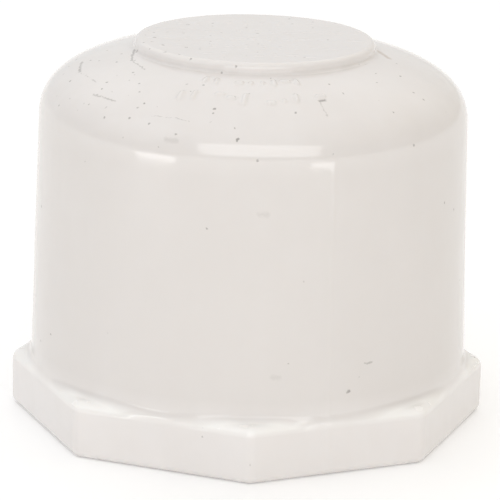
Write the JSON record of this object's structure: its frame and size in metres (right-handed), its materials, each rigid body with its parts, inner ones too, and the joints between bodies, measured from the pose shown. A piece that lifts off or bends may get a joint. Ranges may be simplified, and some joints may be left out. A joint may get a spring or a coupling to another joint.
{
  "type": "pipe cap",
  "caption": "White plastic pipe cap with an internal taper thread, a domed closed end and an eight-sided wrench collar.",
  "frame": {"origin": "centre of the open rim, on the surface that the cap stands on", "axes": "+Z along the pipe axis from the open mouth to the closed domed end, -Y towards one corner of the collar"},
  "size_m": [0.0376, 0.0376, 0.0302],
  "materials": {
    "white_plastic": "smooth moulded rigid plastic, warm white, softly glossy"
  },
  "bodies": {
    "root": {"cap_body": "white_plastic"}
  },
  "joints": []
}
